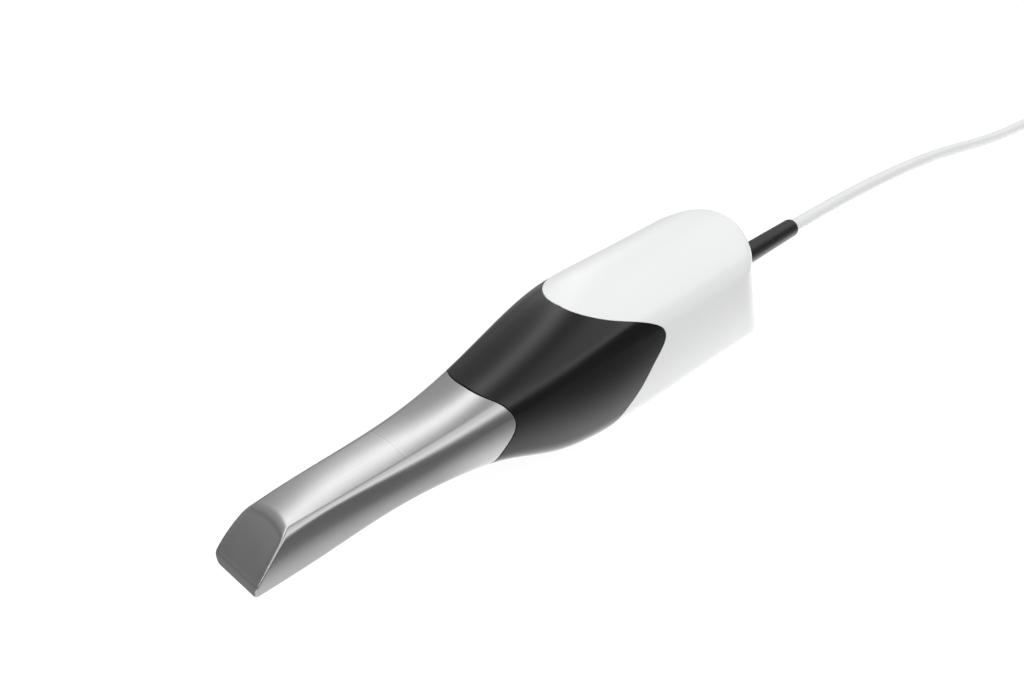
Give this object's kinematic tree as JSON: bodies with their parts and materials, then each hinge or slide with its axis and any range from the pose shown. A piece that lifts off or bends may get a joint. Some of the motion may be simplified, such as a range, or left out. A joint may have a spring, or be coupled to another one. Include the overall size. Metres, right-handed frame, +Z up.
{
  "type": "intraoral camera",
  "caption": "Hand-held intraoral scanner: steel sleeve with a sloping nose and scan window, black grip, white rounded housing, bend relief and cable.",
  "frame": {"origin": "middle of the outer face of the scan window, on the flat underside of the nose", "axes": "+X along the body from the nose to the cable, +Z up, +Y to the left of someone looking along +X"},
  "size_m": [0.5663, 0.051, 0.055],
  "materials": {
    "sleeve_steel": "satin, fine lengthwise grain",
    "small_steel": "plain machined",
    "black_plastic": "matt",
    "grip_black": "satin, soft to the touch",
    "housing_white": "semi-gloss",
    "black_rubber": "matt",
    "cable_jacket": "matt, smooth",
    "nylon": "matt",
    "aluminium": "machined",
    "black_aluminium": "black anodised, matt",
    "copper": "enamelled winding",
    "magnet_nickel": "nickel plated",
    "optical_glass": "polished, coated",
    "mirror_coating": "front-surface mirror",
    "circuit_board": "solder mask",
    "chip_black": "moulded"
  },
  "bodies": {
    "grip": {"front_grip_shell": "grip_black", "rear_housing": "housing_white", "housing_gasket": "black_rubber", "nose_tube": "black_aluminium", "window_retainer": "small_steel", "nose_window": "optical_glass", "window_heater_ring": "copper", "front_relay_lens": "optical_glass", "lens_spacer": "black_aluminium", "rear_relay_lens": "optical_glass", "nose_seal_ring": "black_rubber", "nose_screw_1": "small_steel", "nose_screw_2": "small_steel", "nose_screw_3": "small_steel", "nose_screw_4": "small_steel", "optics_chassis": "aluminium", "latch_pin": "small_steel", "button_spring": "small_steel", "button_seal": "black_rubber", "focus_rod_left": "small_steel", "focus_rod_right": "small_steel", "voice_coil_magnet": "magnet_nickel", "beam_splitter": "optical_glass", "projector_housing": "black_aluminium", "projector_lens": "optical_glass", "projector_led_board": "circuit_board", "sensor_board": "circuit_board", "image_sensor": "chip_black", "main_board": "circuit_board", "processor": "chip_black", "heat_spreader": "aluminium", "cable_connector": "nylon", "board_screw_1": "small_steel", "board_screw_2": "small_steel", "board_screw_3": "small_steel", "board_screw_4": "small_steel", "cable_inner": "cable_jacket", "bend_relief": "black_rubber", "cable_clamp": "nylon"},
    "sleeve": {"sleeve_shell": "sleeve_steel", "window_frame": "black_plastic", "scan_window": "optical_glass", "deflection_mirror": "mirror_coating", "mirror_carrier": "black_plastic", "sleeve_collar": "nylon"},
    "button": {"release_button": "grip_black"},
    "latch": {"latch_lever": "small_steel"},
    "focus": {"focus_carriage": "black_plastic", "focus_lens": "optical_glass", "focus_coil": "copper"},
    "cable": {"cable_outer": "cable_jacket"}
  },
  "joints": [
    {"name": "sleeve_slide", "type": "slide", "parent": "grip", "child": "sleeve", "axis": [-1, 0, 0], "range_m": [0, 0.11]},
    {"name": "button_press", "type": "slide", "parent": "grip", "child": "button", "axis": [0, 0, 1], "range_m": [0, 0.0015], "stiffness_N_per_m": 400, "deforming": ["button_spring"]},
    {"name": "latch_turn", "type": "hinge", "parent": "grip", "child": "latch", "pos_m": [0.1025, 0, -0.0038], "axis": [0, -1, 0], "range_deg": [0, 10.5]},
    {"name": "focus_travel", "type": "slide", "parent": "grip", "child": "focus", "axis": [1, 0, 0], "range_m": [-0.002, 0.002], "stiffness_N_per_m": 20},
    {"name": "cable_bend", "type": "hinge", "parent": "grip", "child": "cable", "pos_m": [0.286, 0, 0.0073], "axis": [0, 0, 1], "range_deg": [-20, 20], "stiffness_Nm_per_rad": 0.05}
  ],
  "couplings": [
    {"joint": "latch_turn", "follows": "button_press", "rad_per_m": 116}
  ]
}
